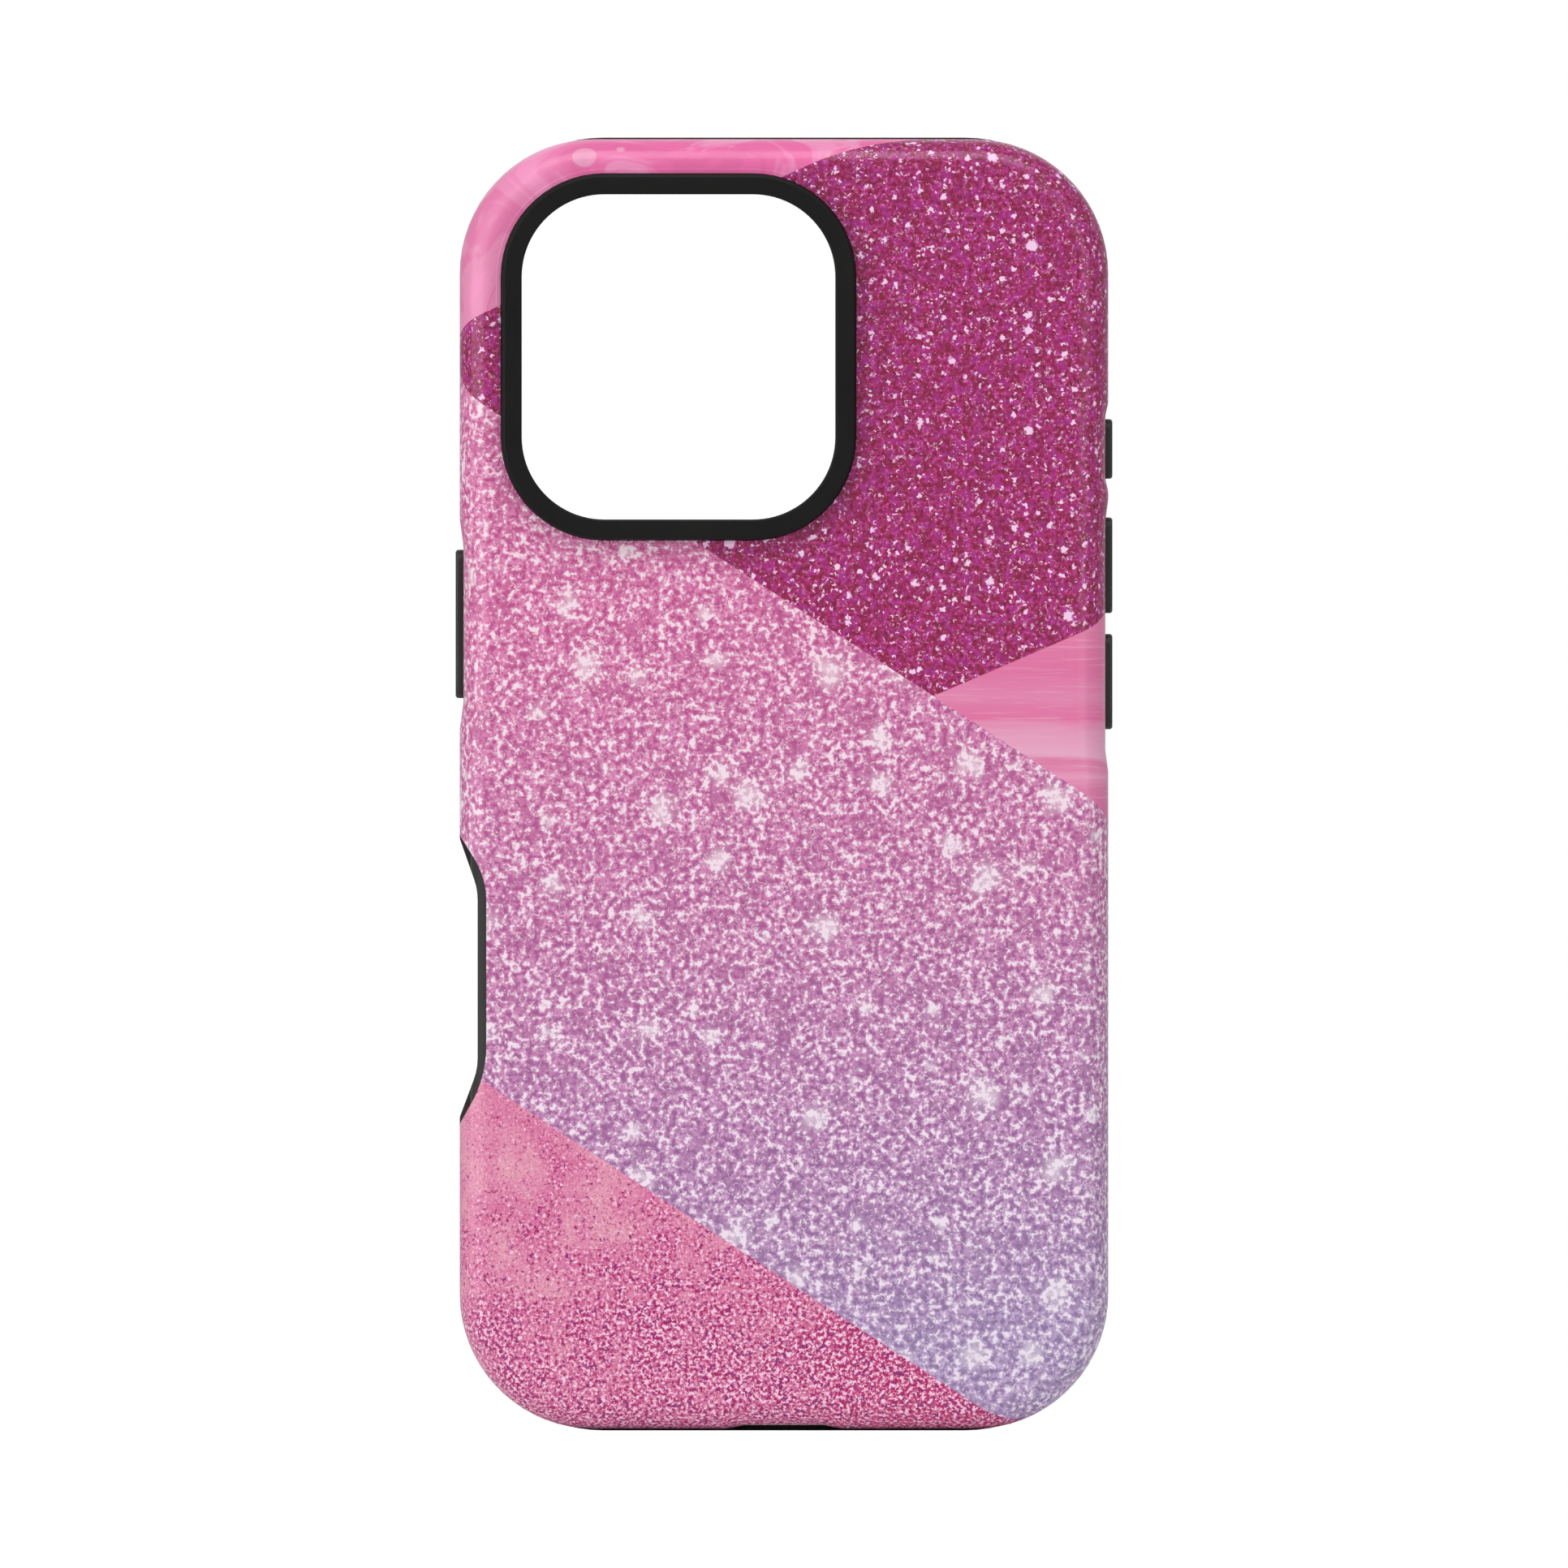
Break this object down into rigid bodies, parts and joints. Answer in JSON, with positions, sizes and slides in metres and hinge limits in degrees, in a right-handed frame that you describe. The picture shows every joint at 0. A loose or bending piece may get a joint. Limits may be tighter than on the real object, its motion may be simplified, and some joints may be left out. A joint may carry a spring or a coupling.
{
  "type": "phone case",
  "caption": "Two-layer phone case: a glossy printed hard shell over a black soft liner, with a raised camera ring, side buttons and a magnet ring.",
  "frame": {"origin": "middle of the seat that the phone's back rests on, at the middle of the case's width and height", "axes": "+Z towards the phone's top, +Y out of the seat towards the phone's screen, +X to the right as seen from behind the case"},
  "size_m": [0.0792, 0.0143, 0.156],
  "materials": {
    "printed_shell": "gloss",
    "liner": "satin",
    "bezel": "satin",
    "button": "satin",
    "web": "matte",
    "carrier": "matte",
    "magnet": "satin",
    "magnet_cover": "matte",
    "adhesive": "matte"
  },
  "bodies": {
    "liner": {"inner_liner": "liner", "camera_bezel": "bezel", "side_button_web": "web", "action_button_web": "web", "volume_up_web": "web", "volume_down_web": "web", "magnet_carrier": "carrier", "ring_magnets": "magnet", "alignment_magnet": "magnet", "magnet_cover": "magnet_cover", "magnet_adhesive": "adhesive"},
    "shell": {"outer_shell": "printed_shell"},
    "side_button": {"side_button_cap": "button"},
    "action_button": {"action_button_cap": "button"},
    "volume_up": {"volume_up_cap": "button"},
    "volume_down": {"volume_down_cap": "button"}
  },
  "joints": [
    {"name": "side_button_press", "type": "slide", "parent": "liner", "child": "side_button", "axis": [1, 0, 0], "range_m": [0, 0.0004], "stiffness_N_per_m": 4000},
    {"name": "action_button_press", "type": "slide", "parent": "liner", "child": "action_button", "axis": [-1, 0, 0], "range_m": [0, 0.0004], "stiffness_N_per_m": 4000},
    {"name": "volume_up_press", "type": "slide", "parent": "liner", "child": "volume_up", "axis": [-1, 0, 0], "range_m": [0, 0.0004], "stiffness_N_per_m": 4000},
    {"name": "volume_down_press", "type": "slide", "parent": "liner", "child": "volume_down", "axis": [-1, 0, 0], "range_m": [0, 0.0004], "stiffness_N_per_m": 4000},
    {"name": "shell_off", "type": "slide", "parent": "liner", "child": "shell", "axis": [0, -1, 0], "range_m": [0, 0.015]}
  ]
}
